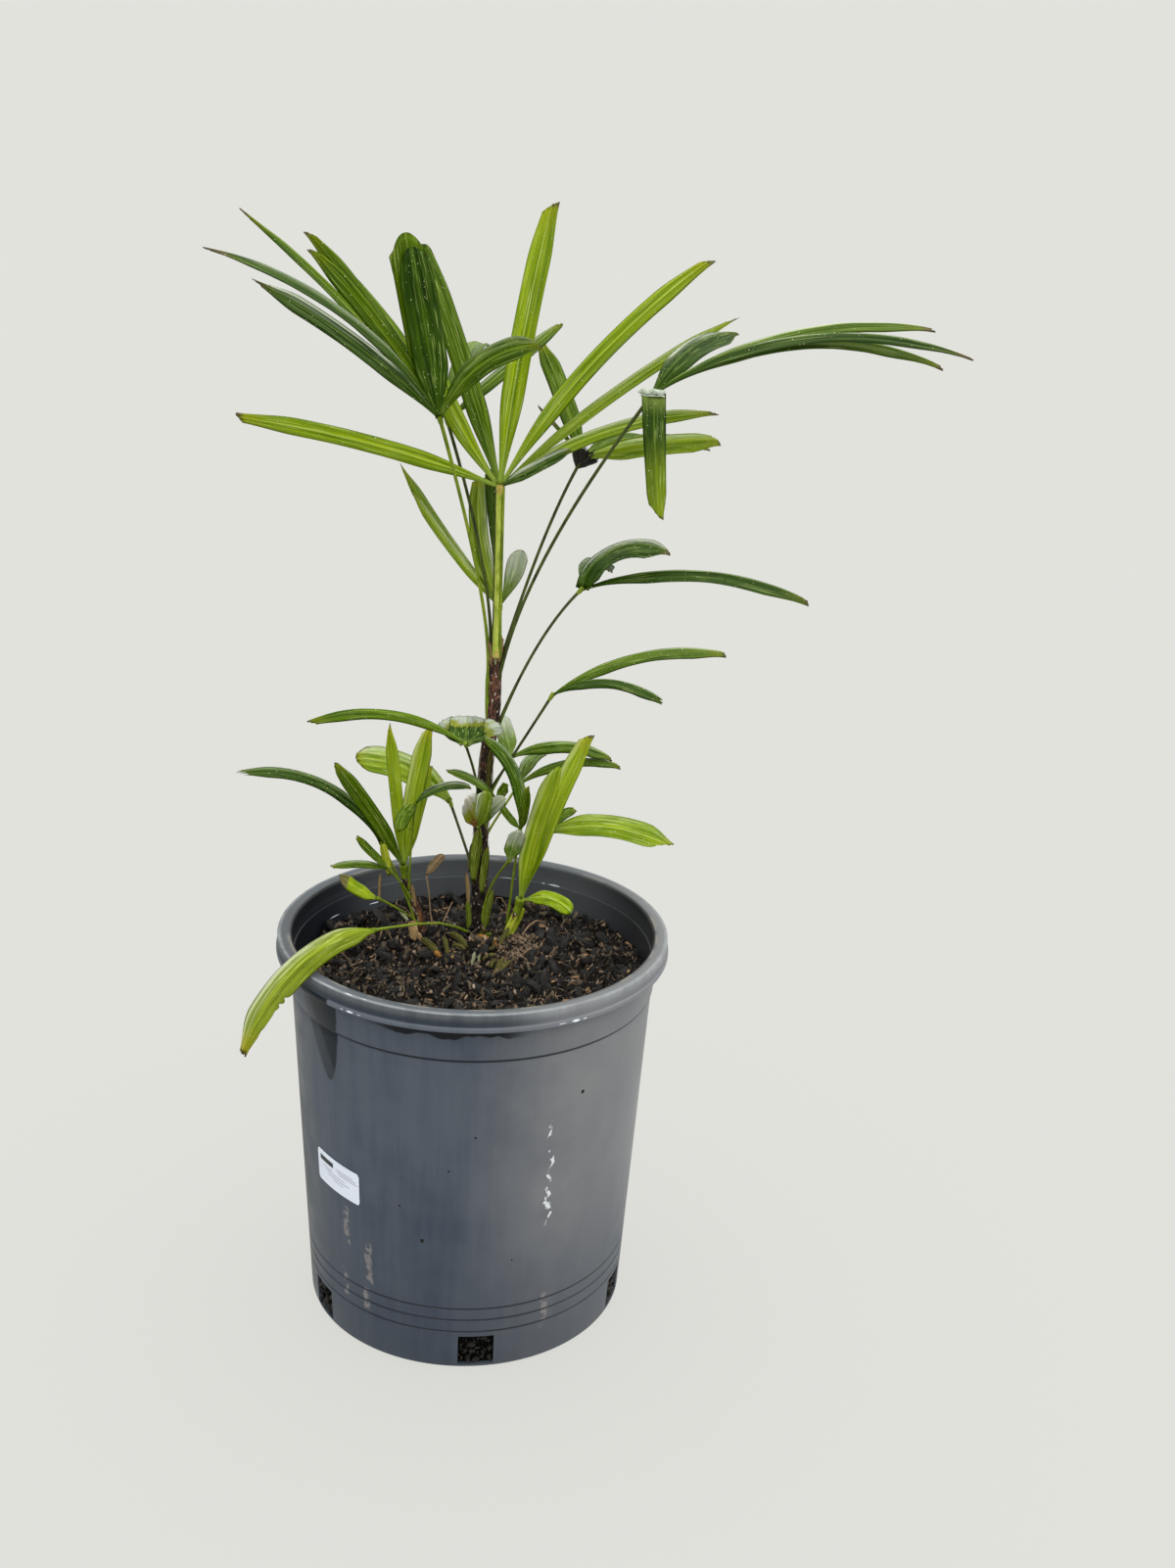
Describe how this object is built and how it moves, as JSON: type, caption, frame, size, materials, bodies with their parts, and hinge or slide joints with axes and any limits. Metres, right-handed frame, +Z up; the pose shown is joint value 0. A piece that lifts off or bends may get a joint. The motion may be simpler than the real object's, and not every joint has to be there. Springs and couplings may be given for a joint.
{
  "type": "potted lady palm",
  "caption": "Young lady palm with fan fronds on a slim fibrous stem and two side shoots, standing in a round plastic nursery pot of potting mix.",
  "frame": {"origin": "centre of the pot's flat underside, on the ground", "axes": "+Z up along the pot's axis, +X to the plant's right seen from the front, -Y toward the front"},
  "size_m": [0.5249, 0.3817, 0.8394],
  "materials": {
    "pot_plastic": "blue-grey injection-moulded nursery pot plastic, wet, with scuffs and water stains",
    "potting_mix": "dark moist bark and peat mix with tan chips",
    "label_paper": "white sticker with plain ruled lines",
    "stem_fibre": "dark brown woven sheath fibre",
    "leaf_green": "glossy pleated dark green leaf, wet",
    "leaf_young": "glossy pleated bright green leaf with yellow-green tips, wet",
    "leaf_dry": "dry tan leaf"
  },
  "bodies": {
    "root": {"pot": "pot_plastic", "soil": "potting_mix", "label": "label_paper", "main_stem": "stem_fibre", "left_shoot_stem": "stem_fibre", "right_shoot_stem": "stem_fibre", "frond_top_front": "leaf_green", "frond_top_left": "leaf_green", "frond_top_left_rear": "leaf_green", "frond_top_right_rear": "leaf_green", "frond_top_right": "leaf_green", "frond_young_centre": "leaf_young", "frond_mid_right": "leaf_green", "frond_lower_right": "leaf_green", "frond_low_left": "leaf_green", "frond_stem_front": "leaf_green", "frond_stem_pair": "leaf_green", "frond_low_right_upper": "leaf_green", "frond_low_right_lower": "leaf_green", "frond_low_left_rear": "leaf_green", "frond_foot_small": "leaf_green", "frond_over_rim": "leaf_young", "shoot_right_tall_leaf": "leaf_young", "shoot_right_wide_leaf": "leaf_young", "shoot_right_round_leaf": "leaf_young", "shoot_right_curved_leaf": "leaf_green", "shoot_left_fan": "leaf_young", "shoot_left_small_leaf": "leaf_green", "shoot_left_long_leaf": "leaf_green", "shoot_left_low_leaf": "leaf_green", "shoot_left_brown_leaf": "leaf_young", "dry_leaf": "leaf_dry"}
  },
  "joints": []
}
